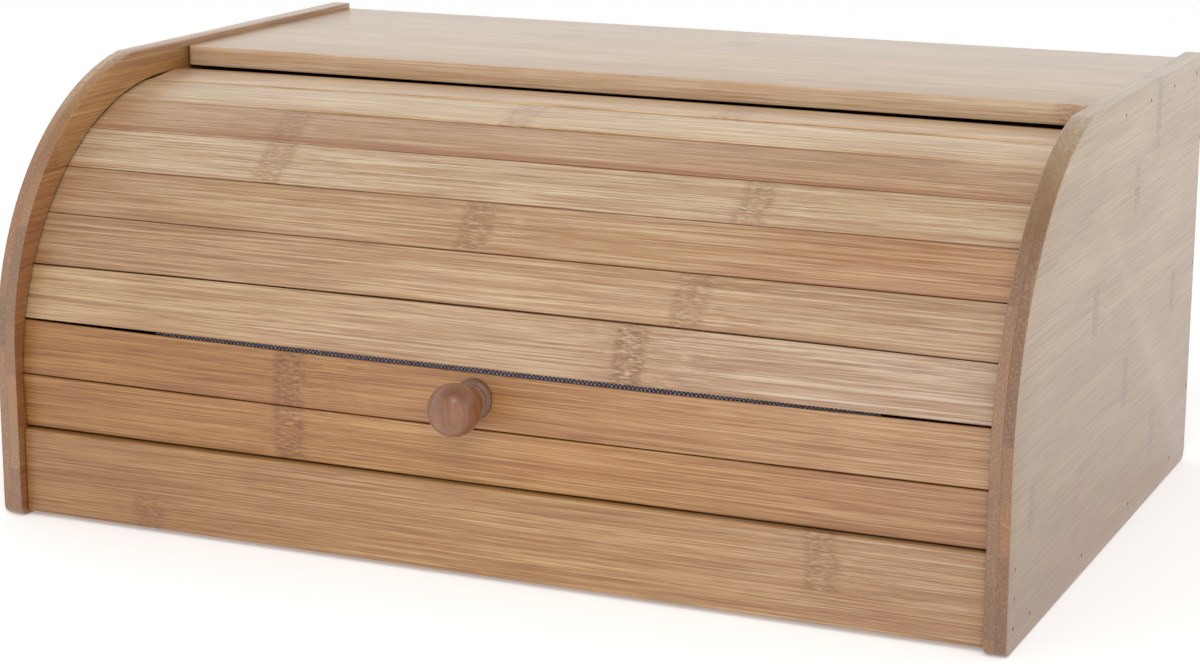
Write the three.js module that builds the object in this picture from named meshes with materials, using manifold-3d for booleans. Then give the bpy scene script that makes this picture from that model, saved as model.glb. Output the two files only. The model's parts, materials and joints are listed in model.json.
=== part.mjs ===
// Bread box with a roll top: a bamboo case with a slatted tambour that slides in
// two round grooves. Millimetres, +Z up, the front faces -Y.
// The origin is on the surface the box stands on, under the middle of its whole depth,
// knob included.
import * as THREE from 'three';
import { mergeVertices } from 'three/addons/utils/BufferGeometryUtils.js';
import Module from 'manifold-3d';

const wasm = await Module();
wasm.setup();

// ---- Case ----
const boxWidth = 400;
const boxDepth = 270;
const boxHeight = 170;
const sideThickness = 8;
const sideFootRadius = 4.5; // rounding of the sides' two bottom corners
const profileRadius = 108; // quarter-round front edge of the sides
const profileCentreZ = 63.5;
const boardLift = 1.5; // rail and back stay this far above the surface

const topThickness = 8;
const topDrop = 2.5; // top panel below the sides' top edges
const topFrontY = -5.5;
const topCornerRadius = 2.5;

const railThickness = 8;
const railInset = 4; // rail's face behind the sides' front edges
const railTopZ = 34.5;
const railTopRadius = 1.5;

const baseThickness = 8;
const baseBottomZ = 3.5;
const backThickness = 6;

// ---- Track: one circle for both grooves, seen from the side ----
const trackY = -24;
const trackZ = 52.5;
const grooveOuterRadius = 107;
const grooveInnerRadius = 99.3;
const grooveDepth = 5;
const grooveStartDeg = -9.9; // angles rise from the front, over the top, to the back
const grooveEndDeg = 195;

// ---- Tambour ----
const slatCount = 10;
const slatPitchDeg = 11.6;
const tambourStartDeg = -9.6; // lower edge of the bottom slat when shut
const slatFaceRadius = 105; // from the track's centre to a slat's outer face
const slatThickness = 5;
const slatOuterWidth = 20.7;
const slatInnerWidth = 20;
const slatEase = 0.4; // eased long edges of the outer face
const slatEndClearance = 0.5;
const wideGapSlat = 1; // the slat with the knob sits lower, below one wide gap
const wideGapNarrowing = 1.2;

const clothGap = 0.3;
const clothThickness = 0.5;
const clothLeftX = -137;
const clothRightX = 150;
const clothHemDeg = 1; // cloth ends this far inside the end slats' edges

// ---- Knob, heights measured out from the slat's face along the knob's own axis ----
const knobDroopDeg = 9; // its axis points this far below the slat's normal
const knobSeat = 0.3; // its back is cut flat, parallel to the slat and this far off it
const knobBackHeight = -1.6; // the turned shape starts here, before it is cut flat
const knobBaseRadius = 7.4;
const knobRimHeight = 1.3;
const knobBevelHeight = 2.3;
const knobBevel = 0.7;
const knobCoveHeight = 3.5;
const knobCoveRadius = 5.2;
const knobNeckHeight = 5.5;
const knobNeckRadius = 4.6;
const knobHeadRadius = 9.6;
const knobHeadHeight = 16;
const knobHoleRadius = 2.1;
const knobHoleDepth = 12.5;

// ---- Screw, heights measured out from the slat's face along its normal ----
const screwRadius = 1.75;
const screwTipHeight = 11.5;
const screwPointLength = 2;
const screwHeadRadius = 3.4;
const screwHeadFlatRadius = 2.4;
const screwHeadThickness = 2;
const screwHeadRim = 0.8;
const screwHoleRadius = 2.1;
const screwHoleLength = 20;

// ---- Brads: headless pins through the sides into the ends of the boards ----
const bradRadius = 0.7;
const bradLength = 22;
const bradSink = 0.3;
const bradHoleClearance = 0.25;
const bradHoleEnd = 1; // hole runs this far past the brad's tip
const topBradsY = [3, 121]; // first and last brad of each row
const railBradsZ = [8.5, 29.5];
const baseBradsY = [-106, 106];
const backBradsZ = [32, 136];
const longRowBrads = 4;
const shortRowBrads = 3;

// The knob reaches past the front edge, so the case sits half that reach further back.
const caseShiftY = 9.25;

// ---- Values worked out from the dimensions ----
const innerHalfWidth = boxWidth / 2 - sideThickness;
const frontY = -boxDepth / 2;
const backY = boxDepth / 2;
const topUnderZ = boxHeight - topDrop - topThickness;
const railFaceY = frontY + railInset;
const railBackY = railFaceY + railThickness;
const backPanelY = backY - backThickness;
const profileCentreY = frontY + profileRadius;
const slatLength = 2 * (innerHalfWidth + grooveDepth - slatEndClearance);

// ---- Fineness of the curves ----
const grooveSegments = 60;
const profileSegments = 28;
const cornerSegments = 4;
const roundSegments = 28;
const headSegments = 11;
const bradSides = 8;
const weldTolerance = 1e-4;
const cutterReach = 1; // cutters run this far past the surface they open

const rad = (degrees) => (degrees * Math.PI) / 180;

// ---- Materials ----
const tones = {
  side: 0xcbb08c,
  top: 0xd6c5a6,
  rail: 0xc99f6d,
  board: 0xd0ad7e,
  knob: 0xa87c5c,
  cloth: 0x3f4354,
  steel: 0x8f9094,
};
const slatTones = [
  0xc79c66, 0xc4965f, 0xd9b37c, 0xc9a06c, 0xc69a68,
  0xcfa878, 0xc9a071, 0xd8bb8a, 0xd0ac7c, 0xcda97a,
];

function finish(colour, roughness = 0.55, metalness = 0) {
  return new THREE.MeshStandardMaterial({ color: colour, roughness, metalness });
}

// ---- Geometry helpers ----
function toSolid(geometry) {
  const bare = geometry.clone();
  bare.deleteAttribute('normal');
  bare.deleteAttribute('uv');
  const welded = mergeVertices(bare, weldTolerance);
  return new wasm.Manifold(new wasm.Mesh({
    numProp: 3,
    vertProperties: new Float32Array(welded.attributes.position.array),
    triVerts: new Uint32Array(welded.index.array),
  }));
}

function toGeometry(solid) {
  const mesh = solid.getMesh();
  const geometry = new THREE.BufferGeometry();
  geometry.setAttribute('position', new THREE.BufferAttribute(mesh.vertProperties, 3));
  geometry.setIndex(new THREE.BufferAttribute(mesh.triVerts, 1));
  geometry.computeVertexNormals();
  return geometry;
}

function cut(geometry, cutters) {
  let solid = toSolid(geometry);
  for (const cutter of cutters) {
    solid = solid.subtract(toSolid(cutter));
  }
  return toGeometry(solid);
}

// Extrudes an outline drawn in (y, z) along X, from x0 to x1.
function extrudeAcross(outline, x0, x1, curveSegments = cornerSegments) {
  const options = { depth: x1 - x0, bevelEnabled: false, curveSegments };
  const geometry = new THREE.ExtrudeGeometry(outline, options);
  const yzToWorld = new THREE.Matrix4().makeBasis(
    new THREE.Vector3(0, 1, 0),
    new THREE.Vector3(0, 0, 1),
    new THREE.Vector3(1, 0, 0),
  );
  geometry.applyMatrix4(yzToWorld);
  geometry.translate(x0, 0, 0);
  return geometry;
}

function boxBetween(low, high) {
  const size = high.map((value, i) => value - low[i]);
  const geometry = new THREE.BoxGeometry(...size);
  geometry.translate(...low.map((value, i) => value + size[i] / 2));
  return geometry;
}

function piece(name, geometry, material, parent) {
  const mesh = new THREE.Mesh(geometry, material);
  mesh.name = name;
  parent.add(mesh);
  return mesh;
}

// ---- Brads ----
// Each row nails one board: y and z of its brads, the same on both sides.
const spread = (count, [from, to]) => (
  Array.from({ length: count }, (_, i) => from + ((to - from) * i) / (count - 1))
);
const topMiddleZ = topUnderZ + topThickness / 2;
const baseMiddleZ = baseBottomZ + baseThickness / 2;
const railMiddleY = railFaceY + railThickness / 2;
const backMiddleY = backPanelY + backThickness / 2;
const bradRows = {
  top: spread(longRowBrads, topBradsY).map((y) => [y, topMiddleZ]),
  rail: spread(shortRowBrads, railBradsZ).map((z) => [railMiddleY, z]),
  base: spread(longRowBrads, baseBradsY).map((y) => [y, baseMiddleZ]),
  back: spread(shortRowBrads, backBradsZ).map((z) => [backMiddleY, z]),
};

// A pin along X whose outer end is just under the side panel's face.
function pinAcross(side, [y, z], radius, outerX, innerX) {
  const geometry = new THREE.CylinderGeometry(radius, radius, outerX - innerX, bradSides);
  geometry.rotateZ(Math.PI / 2);
  geometry.translate((side * (outerX + innerX)) / 2, y, z);
  return geometry;
}

function bradGeometry(side, point) {
  const outerX = boxWidth / 2 - bradSink;
  return pinAcross(side, point, bradRadius, outerX, outerX - bradLength);
}

function bradHole(side, point) {
  const outerX = boxWidth / 2 + cutterReach;
  const innerX = boxWidth / 2 - bradSink - bradLength - bradHoleEnd;
  return pinAcross(side, point, bradRadius + bradHoleClearance, outerX, innerX);
}

function bradHolesOf(rowName) {
  return [-1, 1].flatMap((side) => bradRows[rowName].map((point) => bradHole(side, point)));
}

// ---- Case boards ----
function sideOutline() {
  const kinkZ = boxHeight - profileCentreZ;
  const kinkY = -Math.sqrt(profileRadius ** 2 - kinkZ ** 2);
  const foot = sideFootRadius;
  const outline = new THREE.Shape();
  outline.moveTo(frontY + foot, 0);
  outline.lineTo(backY - foot, 0);
  outline.absarc(backY - foot, foot, foot, -Math.PI / 2, 0, false);
  outline.lineTo(backY, boxHeight);
  outline.lineTo(profileCentreY + kinkY, boxHeight);
  const kinkAngle = Math.atan2(kinkZ, kinkY);
  outline.absarc(profileCentreY, profileCentreZ, profileRadius, kinkAngle, Math.PI, false);
  outline.lineTo(frontY, foot);
  outline.absarc(frontY + foot, foot, foot, Math.PI, 1.5 * Math.PI, false);
  return outline;
}

function grooveOutline() {
  const first = Math.PI - rad(grooveEndDeg);
  const last = Math.PI - rad(grooveStartDeg);
  const outline = new THREE.Shape();
  outline.absarc(trackY, trackZ, grooveOuterRadius, first, last, false);
  outline.absarc(trackY, trackZ, grooveInnerRadius, last, first, true);
  return outline;
}

function sidePanel(side) {
  const inner = innerHalfWidth * side;
  const outer = (boxWidth / 2) * side;
  const board = extrudeAcross(
    sideOutline(), Math.min(inner, outer), Math.max(inner, outer), profileSegments,
  );
  const grooveFloor = inner + side * grooveDepth;
  const grooveMouth = inner - side * cutterReach;
  const groove = extrudeAcross(
    grooveOutline(),
    Math.min(grooveFloor, grooveMouth),
    Math.max(grooveFloor, grooveMouth),
    grooveSegments,
  );
  const holes = Object.values(bradRows).flat().map((point) => bradHole(side, point));
  return cut(board, [groove, ...holes]);
}

function topPanel() {
  const r = topCornerRadius;
  const outline = new THREE.Shape();
  outline.moveTo(-innerHalfWidth, backY);
  outline.lineTo(-innerHalfWidth, topFrontY + r);
  outline.absarc(-innerHalfWidth + r, topFrontY + r, r, Math.PI, 1.5 * Math.PI, false);
  outline.lineTo(innerHalfWidth - r, topFrontY);
  outline.absarc(innerHalfWidth - r, topFrontY + r, r, -Math.PI / 2, 0, false);
  outline.lineTo(innerHalfWidth, backY);
  const options = { depth: topThickness, bevelEnabled: false, curveSegments: cornerSegments };
  const board = new THREE.ExtrudeGeometry(outline, options);
  board.translate(0, 0, topUnderZ);
  return cut(board, bradHolesOf('top'));
}

function frontRail() {
  const r = railTopRadius;
  const outline = new THREE.Shape();
  outline.moveTo(railFaceY, boardLift);
  outline.lineTo(railBackY, boardLift);
  outline.lineTo(railBackY, railTopZ);
  outline.lineTo(railFaceY + r, railTopZ);
  outline.absarc(railFaceY + r, railTopZ - r, r, Math.PI / 2, Math.PI, false);
  const board = extrudeAcross(outline, -innerHalfWidth, innerHalfWidth);
  return cut(board, bradHolesOf('rail'));
}

function basePanel() {
  const board = boxBetween(
    [-innerHalfWidth, railBackY, baseBottomZ],
    [innerHalfWidth, backPanelY, baseBottomZ + baseThickness],
  );
  return cut(board, bradHolesOf('base'));
}

function backPanel() {
  const board = boxBetween(
    [-innerHalfWidth, backPanelY, boardLift],
    [innerHalfWidth, backY, topUnderZ],
  );
  return cut(board, bradHolesOf('back'));
}

// ---- Tambour pieces, made at the front of the track: out is -Y, up is +Z ----
function slatCentreDeg(index) {
  return tambourStartDeg + (index + 0.5) * slatPitchDeg;
}

function slat(index) {
  const outer = slatOuterWidth / 2;
  const inner = slatInnerWidth / 2;
  const narrowing = index === wideGapSlat ? wideGapNarrowing : 0;
  const outerTop = outer - narrowing;
  const innerTop = inner - narrowing;
  const outline = new THREE.Shape();
  outline.moveTo(-slatFaceRadius, -outer + slatEase);
  outline.lineTo(-slatFaceRadius + slatEase, -outer);
  outline.lineTo(-slatFaceRadius + slatThickness, -inner);
  outline.lineTo(-slatFaceRadius + slatThickness, innerTop);
  outline.lineTo(-slatFaceRadius + slatEase, outerTop);
  outline.lineTo(-slatFaceRadius, outerTop - slatEase);
  const strip = extrudeAcross(outline, -slatLength / 2, slatLength / 2);
  return index === wideGapSlat ? cut(strip, [screwHole()]) : strip;
}

// A round hole along the slat's normal, between two heights over its face.
function holeOut(radius, low, high) {
  const hole = new THREE.CylinderGeometry(radius, radius, high - low, roundSegments);
  hole.translate(0, -slatFaceRadius - (low + high) / 2, 0);
  return hole;
}

function screwHole() {
  return holeOut(screwHoleRadius, -screwHoleLength / 2, screwHoleLength / 2);
}

// Point of the cloth on the facet behind one slat, offDeg away from the facet's middle.
function clothPoint(index, offDeg, facetRadius) {
  const radius = facetRadius / Math.cos(rad(offDeg));
  const angle = rad(slatCentreDeg(index) + offDeg);
  return new THREE.Vector2(-radius * Math.cos(angle), radius * Math.sin(angle));
}

function backingCloth() {
  const faceRadius = slatFaceRadius - slatThickness - clothGap;
  const half = slatPitchDeg / 2;
  const line = (facetRadius) => [
    clothPoint(0, -half + clothHemDeg, facetRadius),
    ...Array.from({ length: slatCount - 1 }, (_, i) => clothPoint(i, half, facetRadius)),
    clothPoint(slatCount - 1, half - clothHemDeg, facetRadius),
  ];
  const outline = new THREE.Shape([
    ...line(faceRadius),
    ...line(faceRadius - clothThickness).reverse(),
  ]);
  const sheet = extrudeAcross(outline, clothLeftX, clothRightX);
  const hole = screwHole();
  hole.rotateX(-rad(slatCentreDeg(wideGapSlat)));
  return cut(sheet, [hole]);
}

// Turns a profile of [radius, height] points about the axis that runs out through the slat.
function turned(profile) {
  const points = profile.map(([radius, height]) => new THREE.Vector2(radius, height));
  const geometry = new THREE.LatheGeometry(points, roundSegments);
  geometry.rotateX(Math.PI);
  geometry.translate(0, -slatFaceRadius, 0);
  return geometry;
}

function knobProfile() {
  const profile = [
    [0, knobBackHeight],
    [knobBaseRadius, knobBackHeight],
    [knobBaseRadius, knobRimHeight],
    [knobBaseRadius - knobBevel, knobBevelHeight],
    [knobCoveRadius, knobCoveHeight],
    [knobNeckRadius, knobNeckHeight],
  ];
  const neckAngle = Math.PI - Math.asin(knobNeckRadius / knobHeadRadius);
  for (let i = 0; i < headSegments; i += 1) {
    const polar = neckAngle * (1 - i / headSegments);
    profile.push([
      knobHeadRadius * Math.sin(polar),
      knobHeadHeight + knobHeadRadius * Math.cos(polar),
    ]);
  }
  profile.push([0, knobHeadHeight + knobHeadRadius]);
  return profile;
}

// The knob droops about its seat's middle; its back is then cut flat against the slat.
function knob() {
  const whole = turned(knobProfile());
  whole.translate(0, slatFaceRadius, 0);
  whole.rotateX(rad(knobDroopDeg));
  whole.translate(0, -slatFaceRadius, 0);
  const reach = knobBaseRadius + cutterReach;
  const behindSeat = boxBetween(
    [-reach, -slatFaceRadius - knobSeat, -reach],
    [reach, -slatFaceRadius + reach, reach],
  );
  return cut(whole, [behindSeat, holeOut(knobHoleRadius, -cutterReach, knobHoleDepth)]);
}

function screwProfile() {
  const seat = -(slatThickness + 2 * clothGap + clothThickness);
  return [
    [0, seat - screwHeadThickness],
    [screwHeadFlatRadius, seat - screwHeadThickness],
    [screwHeadRadius, seat - screwHeadRim],
    [screwHeadRadius, seat],
    [screwRadius, seat],
    [screwRadius, screwTipHeight - screwPointLength],
    [0, screwTipHeight],
  ];
}

// ---- Assembly ----
const breadBox = new THREE.Group();
breadBox.position.y = caseShiftY;

piece('side_panel_left', sidePanel(-1), finish(tones.side), breadBox);
piece('side_panel_right', sidePanel(1), finish(tones.side), breadBox);
piece('top_panel', topPanel(), finish(tones.top), breadBox);
piece('front_rail', frontRail(), finish(tones.rail), breadBox);
piece('base_panel', basePanel(), finish(tones.board), breadBox);
piece('back_panel', backPanel(), finish(tones.board), breadBox);

for (const [rowName, points] of Object.entries(bradRows)) {
  for (const [sideName, side] of [['left', -1], ['right', 1]]) {
    points.forEach((point, i) => {
      const name = `brad_${rowName}_${sideName}_${i + 1}`;
      piece(name, bradGeometry(side, point), finish(tones.steel, 0.4, 1), breadBox);
    });
  }
}

const tambour = new THREE.Group();
tambour.position.set(0, trackY, trackZ);
breadBox.add(tambour);

for (let i = 0; i < slatCount; i += 1) {
  const name = `slat_${String(i + 1).padStart(2, '0')}`;
  const strip = piece(name, slat(i), finish(slatTones[i]), tambour);
  strip.rotation.x = -rad(slatCentreDeg(i));
}
piece('backing_cloth', backingCloth(), finish(tones.cloth, 0.9), tambour);

const knobMount = new THREE.Group();
knobMount.rotation.x = -rad(slatCentreDeg(wideGapSlat));
tambour.add(knobMount);
piece('knob', knob(), finish(tones.knob, 0.4), knobMount);
piece('knob_screw', turned(screwProfile()), finish(tones.steel, 0.35, 1), knobMount);

export default breadBox;
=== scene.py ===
# Looks for the bamboo bread box with a roll top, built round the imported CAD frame.
# Blender works in metres; shapes below are in millimetres and are scaled in add_mesh().
import json
import math
import random

import bmesh
import bpy
from mathutils import Matrix, Vector


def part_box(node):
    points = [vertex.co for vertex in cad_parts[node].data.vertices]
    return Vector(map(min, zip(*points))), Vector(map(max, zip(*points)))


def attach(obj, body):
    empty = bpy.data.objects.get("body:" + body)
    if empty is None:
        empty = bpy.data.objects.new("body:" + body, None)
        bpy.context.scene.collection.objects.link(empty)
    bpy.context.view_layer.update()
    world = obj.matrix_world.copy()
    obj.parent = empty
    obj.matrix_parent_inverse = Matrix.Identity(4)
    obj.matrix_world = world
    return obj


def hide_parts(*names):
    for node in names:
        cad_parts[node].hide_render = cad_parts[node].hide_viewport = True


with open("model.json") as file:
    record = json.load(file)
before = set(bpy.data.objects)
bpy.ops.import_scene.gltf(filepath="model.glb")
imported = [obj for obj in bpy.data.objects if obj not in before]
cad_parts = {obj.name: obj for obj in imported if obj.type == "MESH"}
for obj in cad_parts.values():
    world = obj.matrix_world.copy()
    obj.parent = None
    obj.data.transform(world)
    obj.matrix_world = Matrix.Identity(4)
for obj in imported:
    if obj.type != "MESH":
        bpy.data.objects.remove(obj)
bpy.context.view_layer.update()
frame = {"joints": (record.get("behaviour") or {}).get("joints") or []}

MM = 0.001

# ---- Dimensions in mm, the CAD's own but for those marked. The case's middle is y = 0 ----
side_low, side_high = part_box("side_panel_right")
case_y = (side_low.y + side_high.y) / 2 / MM
track = Vector(frame["joints"][0]["pos_m"]) / MM
CASE_PLACE = Matrix.Translation((0, case_y * MM, 0))
TRACK_PLACE = Matrix.Translation(track * MM)

HALF_WIDTH = 200.0
HALF_DEPTH = 135.0
HEIGHT = 170.0
SIDE_THICKNESS = 8.0
INNER_HALF = HALF_WIDTH - SIDE_THICKNESS
FOOT_RADIUS = 4.5
BACK_RADIUS = 0.8  # of the sides' corner at the top of the back
PROFILE_RADIUS = 108.0  # of the sides' rounded front, whose centre is at PROFILE_Z
PROFILE_Z = 63.5
PLY_FACE = 196.2  # where the outer of a side's two plies starts
BOARD_LIFT = 1.5
TOP_LOW, TOP_HIGH = 159.5, 167.5
TOP_FRONT = -5.5
RAIL_FRONT, RAIL_BACK, RAIL_TOP = -131.0, -123.0, 34.5
BASE_LOW, BASE_HIGH = 3.5, 11.5
BACK_FRONT = 129.0

GROOVE_OUT, GROOVE_IN = 106.2, 99.3  # radii round the track's centre; the CAD's outer is 107
GROOVE_DEPTH = 5.0
GROOVE_START, GROOVE_END = -9.9, 195.0  # degrees round the track, up from the front

SLATS = 10
PITCH = 11.6  # degrees from slat to slat
FIRST = -9.6  # degrees at which the lowest slat starts
FACE = 105.0  # radius of the slats' outer faces
SLAT_THICK = 5.0
SLAT_OUT, SLAT_IN = 10.35, 10.0  # half a slat's width at its outer and its inner face
SLAT_HALF = 196.5
WIDE_GAP = 1.2  # above the knob's slat
KNOB_SLAT = 1  # by index, from the bottom
KNOB_SEAT = 0.3  # from FACE out to the knob's flat base
KNOB_DROOP = 9.0  # degrees from its slat's normal
SCREW_HOLE_RADIUS, KNOB_HOLE_DEPTH = 2.1, 12.5

CLOTH_FACE = 99.7
CLOTH_THICK = 0.5
CLOTH_LEFT, CLOTH_RIGHT = -137.0, 150.0
CLOTH_HEM = 1.0  # degrees that the cloth stops short of the end slats' outer edges

BRAD_RADIUS, BRAD_LENGTH = 0.7, 22.0
BRAD_SINK = 0.15  # the CAD's is 0.3
BRAD_CLEAR = 0.03  # air round a brad; the CAD's is 0.25
BRAD_ROWS = {  # how many, and the first and last one's y and z
    "top": (4, (3, 163.5), (121, 163.5)),
    "rail": (3, (-127, 8.5), (-127, 29.5)),
    "base": (4, (-106, 7.5), (106, 7.5)),
    "back": (3, (132, 32), (132, 136)),
}


def slat_centre(index):
    return FIRST + (index + 0.5) * PITCH


def slat_turn(index):
    return Matrix.Rotation(-math.radians(slat_centre(index)), 4, "X")


def slat_place(index):
    return TRACK_PLACE @ slat_turn(index)


def knob_turn():
    """From the knob's own frame to the track's: droops about its seat, then goes with its slat."""
    seat = Matrix.Translation((0, -FACE, 0))
    droop = Matrix.Rotation(math.radians(KNOB_DROOP), 4, "X")
    return slat_turn(KNOB_SLAT) @ seat @ droop @ seat.inverted()


def turned(shape, turn):
    points, faces = shape
    return [tuple(turn @ Vector(point)) for point in points], faces


# ---- Node graphs: a Value is a number that varies over a surface ----
# Constant colours and numbers go straight to a socket's default, without a node.
def plug(tree, socket, value):
    if isinstance(value, Value):
        value = value.socket
    if isinstance(value, bpy.types.NodeSocket):
        tree.links.new(value, socket)
    else:
        socket.default_value = value


class Value:
    def __init__(self, tree, socket):
        self.tree = tree
        self.socket = socket

    def math(self, operation, *others):
        node = self.tree.nodes.new("ShaderNodeMath")
        node.operation = operation
        for socket, value in zip(node.inputs, (self, *others)):
            plug(self.tree, socket, value)
        return Value(self.tree, node.outputs[0])

    def __add__(self, other):
        return self.math("ADD", other)

    def __sub__(self, other):
        return self.math("SUBTRACT", other)

    def __rsub__(self, other):
        return self.math("MULTIPLY", -1.0) + other

    def __mul__(self, other):
        return self.math("MULTIPLY", other)

    def __truediv__(self, other):
        return self.math("DIVIDE", other)

    def __abs__(self):
        return self.math("ABSOLUTE")

    def floor(self):
        return self.math("FLOOR")

    def fract(self):
        return self.math("FRACT")

    def larger(self, other):
        return self.math("MAXIMUM", other)

    def rise(self, low, high, start=0.0, end=1.0):
        """From start to end, smoothly, as the value goes from low to high."""
        node = self.tree.nodes.new("ShaderNodeMapRange")
        node.interpolation_type = "SMOOTHSTEP"
        for socket, value in zip(node.inputs, (self, low, high, start, end)):
            plug(self.tree, socket, value)
        return Value(self.tree, node.outputs[0])


class Graph:
    """A material's nodes. Coordinates are the object's own, in mm, so noises have mm scales."""

    def __init__(self, name):
        self.material = bpy.data.materials.new(name)
        self.material.use_nodes = True
        self.tree = self.material.node_tree
        self.tree.nodes.clear()
        self.coords = self.tree.nodes.new("ShaderNodeTexCoord")

    def axes(self, socket="Object", scale=1 / MM):
        split = self.tree.nodes.new("ShaderNodeSeparateXYZ")
        self.tree.links.new(self.coords.outputs[socket], split.inputs[0])
        values = [Value(self.tree, out) for out in split.outputs]
        return values if scale == 1 else [value * scale for value in values]

    def join(self, x, y, z):
        node = self.tree.nodes.new("ShaderNodeCombineXYZ")
        for socket, value in zip(node.inputs, (x, y, z)):
            plug(self.tree, socket, value)
        return node.outputs[0]

    def noise(self, x, y, z, detail=2.0, rough=0.5, seed=0.0):
        """Smooth noise about 0.5, elsewhere in the noise's space for each seed."""
        node = self.tree.nodes.new("ShaderNodeTexNoise")
        offset = 13.7 * seed
        self.tree.links.new(self.join(x + offset, y + 0.61 * offset, z), node.inputs["Vector"])
        node.inputs["Scale"].default_value = 1.0
        node.inputs["Detail"].default_value = detail
        node.inputs["Roughness"].default_value = rough
        return Value(self.tree, node.outputs[0])

    def chance(self, value, seed=0.0):
        """An even random number from 0 to 1 for each whole number."""
        node = self.tree.nodes.new("ShaderNodeTexWhiteNoise")
        node.noise_dimensions = "1D"
        plug(self.tree, node.inputs["W"], value + (seed * 7.31 + 0.5))
        return Value(self.tree, node.outputs["Value"])

    def mix(self, factor, a, b, blend="MIX"):
        node = self.tree.nodes.new("ShaderNodeMix")
        node.data_type = "RGBA"
        node.blend_type = blend
        plug(self.tree, node.inputs[0], factor)
        plug(self.tree, node.inputs[6], a)
        plug(self.tree, node.inputs[7], b)
        return node.outputs[2]

    def grey(self, value):
        return self.join(value, value, value)

    def finish(self, colour, roughness, height=None, bump_mm=0.05, **sockets):
        shader = self.tree.nodes.new("ShaderNodeBsdfPrincipled")
        plug(self.tree, shader.inputs["Base Color"], colour)
        plug(self.tree, shader.inputs["Roughness"], roughness)
        for socket, value in sockets.items():
            shader.inputs[socket.replace("_", " ")].default_value = value
        if height is not None:
            bump = self.tree.nodes.new("ShaderNodeBump")
            bump.inputs["Strength"].default_value = 1.0
            bump.inputs["Distance"].default_value = bump_mm * MM
            plug(self.tree, bump.inputs["Height"], height)
            self.tree.links.new(bump.outputs[0], shader.inputs["Normal"])
        output = self.tree.nodes.new("ShaderNodeOutputMaterial")
        self.tree.links.new(shader.outputs[0], output.inputs["Surface"])
        return self.material


def srgb(red, green, blue):
    def linear(channel):
        c = channel / 255
        return c / 12.92 if c <= 0.04045 else ((c + 0.055) / 1.055) ** 2.4

    return (linear(red), linear(green), linear(blue), 1.0)


# ---- Materials. The factors of mixes and the noises' scales are tuned to the photo ----
WHITE = (1.0, 1.0, 1.0, 1.0)
FAR = 400.0  # mm added to the distance from a knot where it doesn't cross the board
KNOT_PERIOD = 235.0  # mm from knot to knot in a strip without listed knots
KNOT_RIM = 5.4  # mm from a knot's middle to its darker borders
KNOT_CORE = (3.2, 8.8)  # mm from its middle over which its stain fades
KNOT_HALO = (6.0, 42.0)  # mm over which the curled fibres beside it straighten
HALO_SHIFT = 10.0  # mm by which they are more to its high side
STRIP_TONES = ((0.95, 0.895, 0.86, 1.0), (1.03, 1.06, 1.06, 1.0))
COAT_ROUGHNESS = 0.34
END_PAINTED_LIGHT = (-180.0, 20.0, 180.0)  # mm along the fibres where the low end's painted light is full, where there is none, and where the high end's is full
INNER_PAINTED_SHADE = (110.0, 165.0)  # mm above the ground over which the inner ply's painted shade goes from its foot to its top factors


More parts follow.
